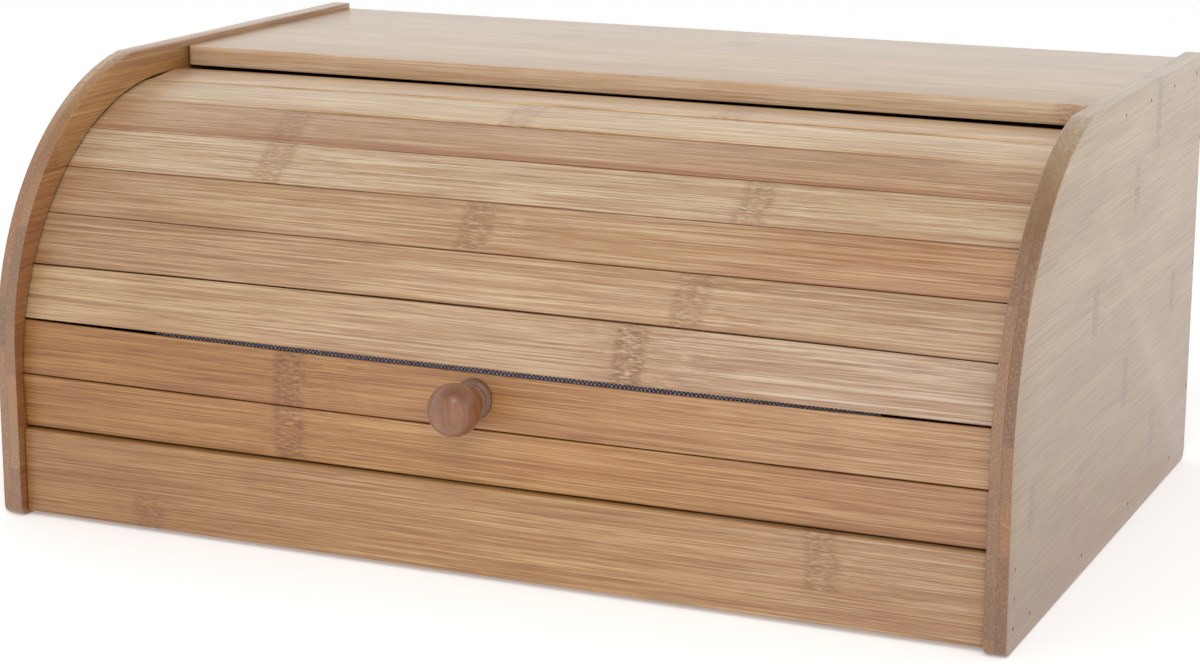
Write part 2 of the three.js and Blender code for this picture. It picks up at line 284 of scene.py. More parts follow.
def bamboo(name, fibre, tone, knots=(), strip=0.0, plies=0.0, seed=0, contrast=1.0, red_edge=0.0,
           seam_at=None, ends=None, inner=None, shades=(), knot_strength=1.0, knot_width=1.0,
           fineness=1.0, cut=(1.0, 1.0, 1.0), coat=1.0, specular=0.5):
    """Solid bamboo whose fibres run along the axis called fibre.

    In it, u runs along the fibres, v across them and w through the board, all in mm.
    tone has a colour for each key of WOOD. contrast and fineness are the fibres'.
    strip is the width of the strips the board is glued up from; without it the piece is one
    strip, or two with a seam at seam_at. plies is the w at which a second layer starts.
    knots lists u, lowest v and highest v of each knot; a board of strips without a list has
    knots of its own. knot_strength and knot_width go for all of them.
    red_edge is the strength of the reddish lower edge of a slat.
    The rest are factors on the colours: ends at the low and the high end of u, which paint
    shade towards an end and, on some pieces, a paler sheen towards the other; inner at the foot
    and the top of the layer before plies, partly that ply's own tone and partly painted shade on
    the inner face; shades as (start, end, factors) that fade out from start to end of v, which
    paint the shadow under the top panel and the shade towards the right side's foot, and set
    the tone of the top's front edge; and cut on the end grain of a board with plies.
    coat is the weight of the varnish and specular the level of the wood's own reflection.
    """
    g = Graph(name)
    x, y, z = g.axes()
    u, v, w = {"x": (x, z, y), "x_flat": (x, y, z), "y": (y, z, x)}[fibre]
    plain_u, plain_v = u, v
    layer = 0.0
    if plies:
        layer = (abs(w) - plies).math("GREATER_THAN", 0.0)
        glue = abs(abs(w) - plies).rise(0.30, 0.05)
    distances = [
        u - at + ((v - low).math("LESS_THAN", 0.0) + (v - high).math("GREATER_THAN", 0.0)) * FAR
        for at, low, high in knots
    ]
    drift = g.noise(u / 160, v / 40, w / 40, 1.0, 0.5, seed + 3) - 0.5
    v = v + drift * 2.0

    # A random number for each strip, and knots of its own if none are listed.
    luck = luck2 = seam = None
    if strip:
        place = v / strip + (0.37 * seed + 0.19)
        if plies:
            place = place + layer * 37.41
        index = place.floor()
        luck = g.chance(index, seed)
        luck2 = g.chance(index, seed + 5)
        if not knots:
            distances = [((u / KNOT_PERIOD + luck * 5.0).fract() - 0.5) * KNOT_PERIOD]
        inside = abs(place.fract() - 0.5)
        seam = inside.rise(0.5 - 0.35 / strip, 0.5 - 0.05 / strip)
        u = u + luck * 900
        w = w + luck2 * 700
    elif seam_at is not None:
        seam = abs(v - seam_at).rise(0.30, 0.05)
        u = u + (v - seam_at).math("GREATER_THAN", 0.0) * 700

    wobble = (g.noise(v / 6, w / 6, u / 40, 2.0, 0.6, seed + 9) - 0.5) * 6.0
    near = halo = rim = None
    for distance in distances:
        moved = (distance + wobble) / knot_width
        border = abs(abs(moved) - KNOT_RIM).rise(0.5, 2.2, 1.0, 0.0)
        rim = border if rim is None else rim.larger(border)
        core = abs(moved).rise(*KNOT_CORE, 1.0, 0.0)
        wide = abs(moved - HALO_SHIFT).rise(*KNOT_HALO, 1.0, 0.0)
        near = core if near is None else near.larger(core)
        halo = wide if halo is None else halo.larger(wide)
    if near is None:
        near = halo = rim = u * 0.0
    near = near * knot_strength
    halo = halo * knot_strength

    # Fibres: long and straight away from the knots, short and curled round them.
    curl = g.noise(u / 6.5, v / 3.4, w / 3.4, 2.0, 0.5, seed + 11) - 0.5
    curled = v + curl * (near * 2.4 + halo * 0.9)
    long_fibres = g.noise(u / 30, curled * 1.15 * fineness, w * 1.15, 3.0, 0.62, seed)
    lines = g.noise(u / 75, curled * 1.9 * fineness, w * 1.9, 2.0, 0.5, seed + 1)
    fine_fibres = g.noise(u / 11, curled * 3.2, w * 3.2, 2.0, 0.5, seed + 10)
    flecks = g.noise(u / 6.5, curled * 1.15, w * 1.15, 2.0, 0.55, seed + 2)
    bands = g.noise(u / 380, v / 3.0, w / 3.0, 2.0, 0.55, seed + 4)
    patches = g.noise(u / 80, v / 12, w / 12, 2.0, 0.5, seed + 6)
    blotches = g.noise(u / 6.0, v / 2.2, w / 2.2, 2.0, 0.6, seed + 7)
    comb = g.noise(u / 2.9, v * 1.7, w * 1.7, 2.0, 0.6, seed + 13)

    colour = g.mix(patches.rise(0.34, 0.66), tone["mid"], tone["pale"])
    colour = g.mix(bands.rise(0.44, 0.70) * (0.34 * contrast), colour, tone["dark"])
    colour = g.mix(long_fibres.rise(0.50, 0.64) * (0.56 * contrast), colour, tone["dark"])
    colour = g.mix(long_fibres.rise(0.47, 0.32) * (0.56 * contrast), colour, tone["pale"])
    colour = g.mix(lines.rise(0.52, 0.62) * (0.48 * contrast), colour, tone["dark"])
    colour = g.mix(lines.rise(0.46, 0.36) * (0.42 * contrast), colour, tone["light"])
    colour = g.mix(fine_fibres.rise(0.50, 0.68) * (0.30 * contrast), colour, tone["dark"])
    colour = g.mix(flecks.rise(0.54, 0.70) * (halo * 0.45 + 0.08), colour, tone["dark"])
    colour = g.mix(flecks.rise(0.45, 0.30) * (halo * 0.34), colour, tone["light"])

    # Knots: a brown stain across the strip, with short pale and dark ticks along the fibres
    # and darker borders.
    colour = g.mix(halo * patches.rise(0.36, 0.62) * 0.16, colour, tone["knot"])
    colour = g.mix(near * blotches.rise(0.34, 0.60, 0.35, 1.0) * 0.50, colour, tone["knot"])
    colour = g.mix(near * blotches.rise(0.60, 0.40) * 0.36, colour, tone["mauve"])
    colour = g.mix(near * comb.rise(0.55, 0.66) * 0.58, colour, tone["light"])
    colour = g.mix(near * comb.rise(0.50, 0.37) * 0.72, colour, tone["bark"])
    colour = g.mix(near * rim * blotches.rise(0.36, 0.56) * 0.36, colour, tone["bark"])

    if red_edge:
        low_edge = v.rise(-SLAT_OUT + 3.2, -SLAT_OUT + 0.6) * bands.rise(0.30, 0.55)
        colour = g.mix(low_edge * red_edge, colour, tone["knot"])
    if strip:
        shade = g.mix(luck2, *STRIP_TONES)
        colour = g.mix(1.0, colour, shade, "MULTIPLY")
        colour = g.mix(luck.rise(0.55, 1.0) * (0.22 * contrast), colour, tone["dark"])
        colour = g.mix(seam * 0.30, colour, tone["knot"])
    # Painted light along the fibres: darker towards an end where less light falls, and on some
    # pieces paler and bluer towards the other end, a painted sheen.
    if ends:
        low_end, high_end = ((*factors, 1.0) for factors in ends)
        shade = g.mix(plain_u.rise(*END_PAINTED_LIGHT[:2]), low_end, WHITE)
        shade = g.mix(plain_u.rise(*END_PAINTED_LIGHT[1:]), shade, high_end)
        colour = g.mix(1.0, colour, shade, "MULTIPLY")
    # The inner ply darker, most at its foot: partly that ply's own tone, partly painted shade on
    # the inner face.
    if inner:
        foot, top = ((*factors, 1.0) for factors in inner)
        shade = g.mix(layer, g.mix(plain_v.rise(*INNER_PAINTED_SHADE), foot, top), WHITE)
        colour = g.mix(1.0, colour, shade, "MULTIPLY")
    # Fades across the fibres: painted shadow on the top slats under the top panel, painted shade
    # towards the right side's foot, and the lighter tone of the top's front edge.
    for start, end, factors in shades:
        shade = g.mix(plain_v.rise(start, end), (*factors, 1.0), WHITE)
        colour = g.mix(1.0, colour, shade, "MULTIPLY")

    # End grain: where the surface cuts across the fibres, it is darker and speckled.
    normal = g.axes("Normal", 1)[{"x": 0, "x_flat": 0, "y": 1}[fibre]]
    end_grain = abs(normal).rise(0.30, 0.85)
    pores = g.noise(v * 1.25, w * 1.25, u / 9, 2.0, 0.6, seed + 8)
    speckle = g.mix(pores.rise(0.50, 0.62) * 0.42, tone["end"], tone["bark"])
    speckle = g.mix(pores.rise(0.46, 0.32) * 0.26, speckle, tone["pale"])
    if plies:
        speckle = g.mix(luck * 0.28, speckle, tone["knot"])
        speckle = g.mix((1.0 - layer) * 0.22, speckle, tone["grey"])
        speckle = g.mix(1.0, speckle, g.grey(luck2.rise(0.0, 1.0, 0.88, 1.26)), "MULTIPLY")
        speckle = g.mix(glue * 0.45, speckle, tone["bark"])
        speckle = g.mix(1.0, speckle, (*cut, 1.0), "MULTIPLY")
    colour = g.mix(end_grain, colour, speckle)

    roughness = long_fibres.rise(0.25, 0.80, 0.40, 0.60) + patches * 0.06
    height = long_fibres * 0.5 + fine_fibres * 0.22 + near * comb * 0.8
    if seam is not None:
        height = height - seam * 0.7
    return g.finish(colour, roughness, height, 0.07, Coat_Weight=coat,
                    Coat_Roughness=COAT_ROUGHNESS, Specular_IOR_Level=specular)


YARN_PITCH = 0.80


def canvas():
    """Plain weave of dark blue-grey and pale yarns; v runs round the track."""
    g = Graph("canvas_weave")
    x, y, z = g.axes()
    v = z.math("ARCTAN2", y * -1.0) * CLOTH_FACE
    sway = (g.noise(x / 9, v / 9, z * 0.0, 1.0, 0.5, 2) - 0.5) * 0.5
    column = (x + sway) / YARN_PITCH
    row = (v + sway) / YARN_PITCH
    parity = ((column.floor() + row.floor()) / 2).fract() * 2.0
    warp = (column.fract() * math.pi).math("SINE")
    weft = (row.fract() * math.pi).math("SINE")
    over = parity.rise(0.4, 0.6)
    height = warp * weft * 0.5 + warp * over * 0.5 + weft * (1.0 - over) * 0.5
    yarn = g.chance(column.floor(), 3) * over + g.chance(row.floor(), 4) * (1.0 - over)
    fuzz = g.noise(x * 3.0, v * 3.0, z * 3.0, 2.0, 0.6, 5)
    dark_yarn = g.mix(yarn, srgb(98, 84, 112), srgb(134, 120, 146))
    pale_yarn = g.mix(yarn, srgb(222, 218, 230), srgb(250, 248, 252))
    colour = g.mix(over, dark_yarn, pale_yarn)
    colour = g.mix(fuzz.rise(0.58, 0.70) * 0.4, colour, srgb(226, 222, 232))
    # Painted shade: the weave is darker where it lies low between the yarns.
    colour = g.mix(height.rise(0.7, 0.15) * 0.6, colour, srgb(64, 54, 76))
    roughness = fuzz.rise(0.3, 0.7, 0.82, 0.95)
    return g.finish(colour, roughness, height, 0.16, Sheen_Weight=0.25, Sheen_Roughness=0.5)


def knob_wood(tone):
    """Turned hardwood in the knob's own frame: y is its axis and the fibres run along z."""
    g = Graph("knob_wood")
    frame_x, frame_y, frame_z = g.axes()
    back = knob_turn().inverted()
    x, y, z = (
        frame_x * row[0] + frame_y * row[1] + frame_z * row[2] + row[3] for row in list(back)[:3]
    )
    radius = (x * x + z * z).math("SQRT")
    bend = (g.noise(x / 14, z / 26, y / 14, 2.0, 0.5, 1) - 0.5) * 4.0
    grain = g.noise((x + bend) * 0.8, z / 16, y * 0.8, 3.0, 0.55, 2)
    fine = g.noise((x + bend) * 3.0, z / 6, y * 3.0, 2.0, 0.5, 3)
    clouds = g.noise(x / 6, z / 8, y / 6, 2.0, 0.5, 7)
    turning = (y * 5.2).math("SINE") * 0.12 + (radius * 6.0).math("SINE") * 0.12
    colour = g.mix(grain.rise(0.34, 0.68), tone["pale"], tone["mid"])
    colour = g.mix(clouds.rise(0.40, 0.70) * 0.30, colour, tone["dark"])
    colour = g.mix(fine.rise(0.52, 0.70) * 0.18, colour, tone["dark"])
    flange = y.rise(-FACE - 3.4, -FACE - 2.0)
    rings = ((radius * 5.5).math("SINE") * 0.5 + 0.5) * flange
    colour = g.mix(flange * 0.60, colour, tone["grey"])
    colour = g.mix(rings * 0.22, colour, tone["dark"])
    roughness = grain.rise(0.3, 0.7, 0.34, 0.50)
    height = grain * 0.3 + turning + fine * 0.2
    return g.finish(colour, roughness, height, 0.05, Coat_Weight=1.0, Coat_Roughness=0.26)


def steel(name, light, dark, rust=0.0):
    g = Graph(name)
    x, y, z = g.axes()
    cloud = g.noise(x * 0.9, y * 0.9, z * 0.9, 3.0, 0.6, 4)
    scratch = g.noise(x * 6.0, y * 0.7, z * 6.0, 2.0, 0.5, 6)
    colour = g.mix(cloud.rise(0.35, 0.65), light, dark)
    if rust:
        colour = g.mix(cloud.rise(0.5, 0.62) * rust, colour, srgb(84, 58, 42))
    roughness = cloud.rise(0.3, 0.7, 0.30, 0.52) + scratch * 0.08
    return g.finish(colour, roughness, scratch, 0.02, Metallic=1.0)


WOOD = {
    "light": srgb(220, 197, 166), "pale": srgb(194, 158, 118), "mid": srgb(178, 138, 96),
    "dark": srgb(142, 94, 58), "knot": srgb(140, 82, 38), "end": srgb(118, 86, 62),
    "grey": srgb(132, 106, 84), "bark": srgb(108, 69, 38), "mauve": srgb(148, 102, 58),
}
KNOB_TONE = {
    "pale": srgb(132, 81, 43), "mid": srgb(116, 66, 34), "dark": srgb(82, 42, 20),
    "grey": srgb(98, 66, 42),
}


def scaled(tone, red, green, blue):
    factors = (red, green, blue, 1.0)
    return {key: tuple(c * f for c, f in zip(value, factors)) for key, value in tone.items()}


# ---- Mesh helpers: every shape is a list of mm points and faces ----
def loft(rings):
    """Solid through rings of as many points each, with its first and last ring as ends."""
    count = len(rings[0])
    points = [point for ring in rings for point in ring]
    faces = []
    for i in range(len(rings) - 1):
        for j in range(count):
            k = (j + 1) % count
            faces.append((i * count + j, i * count + k, (i + 1) * count + k, (i + 1) * count + j))
    faces.append(tuple(reversed(range(count))))
    faces.append(tuple(range(len(points) - count, len(points))))
    return points, faces


def shrink(outline, distance):
    """A convex outline moved inwards by distance, corner by corner."""
    if distance <= 0:
        return list(outline)
    befores, afters = outline[-1:] + outline[:-1], outline[1:] + outline[:1]
    area = sum(a[0] * b[1] - b[0] * a[1] for a, b in zip(outline, afters))
    sign = 1 if area > 0 else -1
    moved = []
    for before, here, after in zip(befores, outline, afters):
        first = Vector((here[0] - before[0], here[1] - before[1])).normalized()
        second = Vector((after[0] - here[0], after[1] - here[1])).normalized()
        normal_a = Vector((-first.y, first.x)) * sign
        normal_b = Vector((-second.y, second.x)) * sign
        middle = (normal_a + normal_b).normalized()
        reach = distance / max(0.5, middle.dot(normal_a))
        moved.append((here[0] + middle.x * reach, here[1] + middle.y * reach))
    return moved


def eased(start, end, radius, between=0):
    """Stations from start to end with the inset that rounds both ends by radius."""
    steps = 4
    stations = []
    for i in range(steps + 1):
        angle = math.pi / 2 * i / steps
        stations.append((start + radius * (1 - math.cos(angle)), radius * (1 - math.sin(angle))))
    rounding = stations[:]
    for i in range(1, between + 1):
        stations.append((start + radius + (end - start - 2 * radius) * i / (between + 1), 0.0))
    return stations + [(start + end - t, inset) for t, inset in reversed(rounding)]


def prism(outline, start, end, ease, place, between=0):
    """Solid of an outline with eased ends; place(t, a, b) gives each point."""
    return loft([
        [place(t, a, b) for a, b in shrink(outline, inset)]
        for t, inset in eased(start, end, ease, between)
    ])


def across(t, a, b):
    return (t, a, b)


def upward(t, a, b):
    return (a, b, t)


def arc(centre, radius, start, end, steps):
    """Points of an arc, angles in degrees, both ends included."""
    angles = (math.radians(start + (end - start) * i / steps) for i in range(steps + 1))
    return [(centre[0] + radius * math.cos(a), centre[1] + radius * math.sin(a)) for a in angles]


def rounded(low, high, radii, steps=4):
    """Rectangle with a radius for each corner: low-low, high-low, high-high, low-high."""
    (a0, b0), (a1, b1) = low, high
    corners = [
        (a0, b0, 1, 1, 180), (a1, b0, -1, 1, 270), (a1, b1, -1, -1, 0), (a0, b1, 1, -1, 90),
    ]
    outline = []
    for (a, b, da, db, start), r in zip(corners, radii):
        outline += arc((a + da * r, b + db * r), r, start, start + 90, steps)
    return outline


def lathe(profile, turns, wave=None):
    """Turned solid about the axis that runs out of a slat's middle; heights are from its face."""
    rings = []
    for radius, height in profile:
        ring = []
        for i in range(turns):
            angle = 2 * math.pi * i / turns
            r = radius + (wave(angle, height) if wave else 0.0)
            ring.append((r * math.cos(angle), -FACE - height, r * math.sin(angle)))
        rings.append(ring)
    return loft(rings)


MERGE_M = 1e-7  # points of a mesh closer than this are one


def add_mesh(name, shape):
    points, faces = shape
    mesh = bpy.data.meshes.new(name)
    mesh.from_pydata([Vector(p) * MM for p in points], [], faces)
    work = bmesh.new()
    work.from_mesh(mesh)
    bmesh.ops.remove_doubles(work, verts=work.verts, dist=MERGE_M)
    bmesh.ops.recalc_face_normals(work, faces=work.faces)
    work.to_mesh(mesh)
    work.free()
    obj = bpy.data.objects.new(name, mesh)
    bpy.context.scene.collection.objects.link(obj)
    return obj


def carve(obj, *shapes):
    """Cuts shapes out of obj. They stay clear of each other, so one cutter holds them all."""
    points, faces = [], []
    for more_points, more_faces in shapes:
        faces += [tuple(i + len(points) for i in face) for face in more_faces]
        points += more_points
    cutter = add_mesh("cutter", (points, faces))
    cutter.matrix_world = obj.matrix_world
    cut = obj.modifiers.new("cut", "BOOLEAN")
    cut.operation = "DIFFERENCE"
    cut.solver = "EXACT"
    cut.object = cutter
    bpy.context.view_layer.update()
    evaluated = obj.evaluated_get(bpy.context.evaluated_depsgraph_get())
    done = bpy.data.meshes.new_from_object(evaluated)
    obj.modifiers.clear()
    obj.data = done
    bpy.data.objects.remove(cutter)


def dress(obj, material, sharp):
    """Gives obj its one material and smooth shading, but for edges sharper than that angle."""
    obj.data.materials.clear()
    obj.data.materials.append(material)
    obj.data.shade_smooth()
    obj.data.set_sharp_from_angle(angle=math.radians(sharp))


def piece(name, shape, material, body, nodes, place=CASE_PLACE, cuts=(), sharp=28):
    obj = add_mesh(name, shape)
    if cuts:
        carve(obj, *cuts)
    dress(obj, material, sharp)
    obj.matrix_world = place
    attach(obj, body)
    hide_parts(*nodes)
    return obj


# ---- Brads and their holes ----
SIDES = ((-1, "left"), (1, "right"))
BRAD_DOME = 0.18  # how far a brad's head is eased at its rim
PAST = 1.0  # how far a cutter reaches past the face that it opens


def spread(count, start, end):
    """Evenly spaced points from start to end."""
    return [
        tuple(a + (b - a) * i / (count - 1) for a, b in zip(start, end)) for i in range(count)
    ]


def circle(centre, radius, count):
    return arc(centre, radius, 0, 360 - 360 / count, count - 1)


def pin(side, point, radius, outer, inner, dome=0.0):
    """Round bar along x at point, from outer to inner on that side of the case."""
    stations = [(outer, radius - dome), (outer - dome, radius), (inner, radius)]
    return loft([[(side * x, a, b) for a, b in circle(point, r, 20)] for x, r in stations])


def brad_holes(*rows, sides=(-1, 1)):
    inner = HALF_WIDTH - BRAD_SINK - BRAD_LENGTH - PAST
    return [
        pin(side, point, BRAD_RADIUS + BRAD_CLEAR, HALF_WIDTH + PAST, inner)
        for row in rows for side in sides for point in spread(*BRAD_ROWS[row])
    ]


# ---- Case ----
# Knots as in bamboo(): place along the fibres and the part of the width that they cross.
SIDE_KNOTS = ((26, 124, 143), (20, 50, 69), (70, 18, 37), (-108, 36, 54), (57, 143, 170),
              (-30, 88, 106), (96, 70, 88))
TOP_KNOTS = ((-39, 124, 135), (-60, 75, 94), (13, 86, 105), (183, -6, 13))
RAIL_SEAM = 14.0
RAIL_KNOTS = ((-137, -9, RAIL_SEAM), (133, RAIL_SEAM, 50))
SIDE_STRIP, BOARD_STRIP = 18.6, 19.5
SIDE_EASE, TOP_EASE, RAIL_EASE, INNER_EASE = 0.55, 0.5, 0.8, 0.2
TOP_LIP = (TOP_FRONT + 0.1, TOP_FRONT + 0.9)  # over it the top's lighter front edge fades out
RIGHT_WOOD = scaled(WOOD, 0.755, 0.83, 0.83) | {
    "knot": srgb(116, 80, 38), "mauve": srgb(114, 80, 44), "bark": srgb(74, 48, 24),
}


def side_outline():
    kink = math.degrees(math.acos((HEIGHT - PROFILE_Z) / PROFILE_RADIUS))
    front_centre = (-HALF_DEPTH + PROFILE_RADIUS, PROFILE_Z)
    foot, back = FOOT_RADIUS, BACK_RADIUS
    return (
        arc((HALF_DEPTH - foot, foot), foot, 270, 360, 8)
        + arc((HALF_DEPTH - back, HEIGHT - back), back, 0, 90, 3)
        + arc(front_centre, PROFILE_RADIUS, 90 + kink, 180, 64)
        + arc((-HALF_DEPTH + foot, foot), foot, 180, 270, 8)
    )


def groove_shape(side):
    centre = (track.y - case_y, track.z)
    first, last = 180 - GROOVE_END, 180 - GROOVE_START
    outline = arc(centre, GROOVE_OUT, first, last, 120) + arc(centre, GROOVE_IN, last, first, 120)
    floor, mouth = INNER_HALF + GROOVE_DEPTH, INNER_HALF - PAST
    return loft([[(side * x, a, b) for a, b in outline] for x in (mouth, floor)])


def build_sides():
    woods = {
        -1: bamboo("bamboo_side_left", "y", scaled(WOOD, 0.98, 0.96, 0.90), strip=SIDE_STRIP,
                   # inner: partly the inner ply's own tone, partly painted shade on the inner
                   # face, darkest at the foot
                   plies=PLY_FACE, seed=21, inner=((0.53, 0.34, 0.17), (0.76, 0.64, 0.33)),
                   knot_strength=0.45, cut=(1.09, 1.10, 1.08)),
        1: bamboo("bamboo_side_right", "y", RIGHT_WOOD, strip=SIDE_STRIP, plies=PLY_FACE, seed=4,
                  contrast=0.62, knots=SIDE_KNOTS, knot_strength=0.85, knot_width=0.6,
                  # Painted shade: the right side darker and warmer towards its foot (shades) and a
                  # little darker towards its front end (ends).
                  fineness=1.5, shades=((-10, 150, (0.60, 0.39, 0.09)),),
                  ends=((0.86, 0.86, 0.86), (1, 1, 1)), cut=(1.27, 1.07, 0.92)),
    }
    for side, word in SIDES:
        low, high = sorted((side * INNER_HALF, side * HALF_WIDTH))
        shape = prism(side_outline(), low, high, SIDE_EASE, across)
        cuts = [groove_shape(side), *brad_holes(*BRAD_ROWS, sides=(side,))]
        piece(f"bamboo_side_{word}", shape, woods[side], "case",
              [f"side_panel_{word}"], cuts=cuts)


def build_boards():
    outline = rounded((-INNER_HALF, TOP_FRONT), (INNER_HALF, HALF_DEPTH), (2.5, 2.5, 0.6, 0.6))
    wood = bamboo("bamboo_top", "x_flat", scaled(WOOD, 1.00, 1.08, 1.10), strip=BOARD_STRIP,
                  seed=7, contrast=0.65, knots=TOP_KNOTS, knot_strength=0.45, fineness=1.2,
                  # ends: painted shade, a little darker towards the right end
                  shades=((*TOP_LIP, (1.18, 1.24, 1.44)),),
                  ends=((1, 1, 1), (0.95, 0.975, 0.97)))
    piece("bamboo_top", prism(outline, TOP_LOW, TOP_HIGH, TOP_EASE, upward), wood, "case",
          ["top_panel"], cuts=brad_holes("top"))

    outline = rounded((RAIL_FRONT, BOARD_LIFT), (RAIL_BACK, RAIL_TOP), (0.9, 0.9, 0.9, 1.5), 6)
    wood = bamboo("bamboo_rail", "x", scaled(WOOD, 0.79, 0.72, 0.545), knots=RAIL_KNOTS,
                  # ends: painted shade towards the left end, painted sheen (paler, bluer) towards
                  # the right end
                  seam_at=RAIL_SEAM, seed=33, ends=((0.77, 0.66, 0.50), (0.95, 1.00, 1.27)),
                  coat=0.7, knot_strength=0.5)
    piece("bamboo_rail", prism(outline, -INNER_HALF, INNER_HALF, RAIL_EASE, across, 30), wood,
          "case", ["front_rail"], cuts=brad_holes("rail"))

    outline = rounded((RAIL_BACK, BASE_LOW), (BACK_FRONT, BASE_HIGH), (0.3,) * 4)
    wood = bamboo("bamboo_base", "x_flat", WOOD, strip=BOARD_STRIP, seed=12, knot_strength=0.45)
    piece("bamboo_base", prism(outline, -INNER_HALF, INNER_HALF, INNER_EASE, across), wood,
          "case", ["base_panel"], cuts=brad_holes("base"))

    outline = rounded((BACK_FRONT, BOARD_LIFT), (HALF_DEPTH, TOP_LOW), (0.3, 0.5, 0.3, 0.3))
    wood = bamboo("bamboo_back", "x", WOOD, strip=BOARD_STRIP, seed=15, knot_strength=0.45)
    piece("bamboo_back", prism(outline, -INNER_HALF, INNER_HALF, INNER_EASE, across), wood,
          "case", ["back_panel"], cuts=brad_holes("back"))


def build_brads():
    metal = steel("brad_steel", srgb(190, 176, 158), srgb(146, 132, 116), rust=0.25)
    outer = HALF_WIDTH - BRAD_SINK
    for row, spacing in BRAD_ROWS.items():
        for side, word in SIDES:
            for i, point in enumerate(spread(*spacing), 1):
                shape = pin(side, point, BRAD_RADIUS, outer, outer - BRAD_LENGTH, BRAD_DOME)
                piece(f"pin_{row}_{word}_{i}", shape, metal, "case",
                      [f"brad_{row}_{word}_{i}"])


# ---- Tambour ----
# For each slat from the bottom: extra mm on its lower and upper outer edge, mm it stands
# proud, mm it bows out in its middle (but see RISES for the two top slats), degrees of tilt
# and skew, knot places along it, tone factors (partly its own tone, partly painted light that
# makes the lower slats darker and most upper ones paler), factors of its left and right end
# (painted shade towards one end, on some a paler painted sheen towards the other), and red
# of its lower edge.
EVEN = ((1, 1, 1), (1, 1, 1))
SLAT_LOOKS = [
    ((0.00, 0.00), 0.00, 0.0, 0.10, 0.000, (-76,), (0.81, 0.67, 0.41),
     ((0.77, 0.68, 0.50), (0.88, 0.90, 1.22)), 0.25),
    ((0.00, 0.00), 0.10, 0.0, -0.15, 0.006, (-76,), (0.71, 0.56, 0.36),
     ((0.86, 0.78, 0.50), (1.09, 1.26, 1.72)), 0.25),
    ((0.00, 0.00), -0.05, 0.0, 0.20, -0.010, (58,), (0.85, 0.87, 0.89),
     ((0.97, 0.96, 0.84), (1.01, 1.10, 1.36)), 0.15),
    ((0.02, 0.08), 0.05, 0.0, -0.20, -0.022, (77,), (0.93, 0.97, 1.00),
     ((0.79, 0.71, 0.60), (0.88, 0.88, 0.90)), 0.20),
    ((0.10, 0.12), -0.08, 0.1, 0.10, 0.004, (-12,), (0.95, 0.99, 1.02),
     ((0.90, 0.86, 0.82), (0.90, 0.78, 0.70)), 0.45),
    ((0.14, 0.14), 0.06, 0.3, -0.10, 0.000, (-105, 90), (1.06, 1.24, 1.44), EVEN, 0.25),
    ((0.14, 0.14), -0.04, 0.7, 0.15, 0.003, (-108,), (0.92, 0.89, 0.86), EVEN, 0.60),
    ((0.14, 0.14), 0.04, 1.2, 0.00, 0.000, (-18,), (1.15, 1.30, 1.36), EVEN, 0.20),
    ((0.12, 0.12), 0.00, 0.0, 0.10, 0.000, (60,), (1.15, 1.24, 1.22), EVEN, 0.20),
    ((0.12, 0.00), 0.00, 0.0, 0.00, 0.000, (-40,), (0.97, 0.96, 0.94), EVEN, 0.20),
]
# The rest is by a slat's index, for the slats that differ from the others.
# Painted shadow: the two top slats are painted darker towards the top panel, where its shadow
# falls on them.
PAINTED_SHADOW_UNDER_TOP = {8: ((12, 4, (0.70, 0.61, 0.53)),), 9: ((-1, -15, (0.20, 0.13, 0.09)),)}
PLAIN_COAT = (1.0, 0.5)  # coat weight and specular level
COATS = {0: (0.7, 0.5), 1: (0.7, 0.5), 9: (0.15, 0.15)}
PLAIN_KNOTS = 0.52
KNOT_STRENGTHS = {0: 0.75, 1: 0.75, 2: 0.85}
# The two top slats rise towards the top panel, faster than the circle of their track: mm that
# their lower and upper edge stand out of it in their middle and at their ends.
RISES = {8: ((1.8, 2.5), (0.3, 1.6)), 9: ((2.5, 2.9), (1.6, 2.9))}
ARCHES = {1: -0.4, 3: 0.9}  # mm that the joint below a slat rises in its middle

TONGUE_START = 191.6  # beyond this x, a slat's end is flush and runs in its groove
TONGUE_STEP = 0.8  # mm along x over which it comes down to that
SLAT_EASE, SLAT_BACK_EASE, SLAT_END_EASE = 0.55, 0.25, 0.2
EDGE_WAVES = ((0.05, 61), (0.03, 23))  # mm of wander up and down, and mm along x per radian
FACE_WAVE = (0.04, 83)  # the same, out and in


def up_slat(b):
    """The part of a slat's width below a point of its section, from 0 to 1."""
    return min(1.0, max(0.0, 0.5 + b / (2 * SLAT_OUT)))


def blend(pair, share):
    return pair[0] + (pair[1] - pair[0]) * share


def bow(index, x, share):
    """How far a point of a slat stands out of the track's circle, in mm."""
    bowed = SLAT_LOOKS[index][2]
    middle, end = RISES.get(index, ((bowed, bowed), (0.0, 0.0)))
    tongue = min(1.0, max(0.0, (TONGUE_START - abs(x)) / TONGUE_STEP))
    return blend((blend(middle, share), blend(end, share)), (x / SLAT_HALF) ** 2) * tongue


def edge_rise(index, x, b):
    """How far the joints above and below lift a point of a slat's section, in mm."""
    share = up_slat(b)
    low, high = ARCHES.get(index, 0.0), ARCHES.get(index + 1, 0.0)
    far = (x / SLAT_HALF) ** 2
    closing = WIDE_GAP * share * far if index == KNOB_SLAT else 0.0
    return (low + (high - low) * share) * (1 - far) + closing


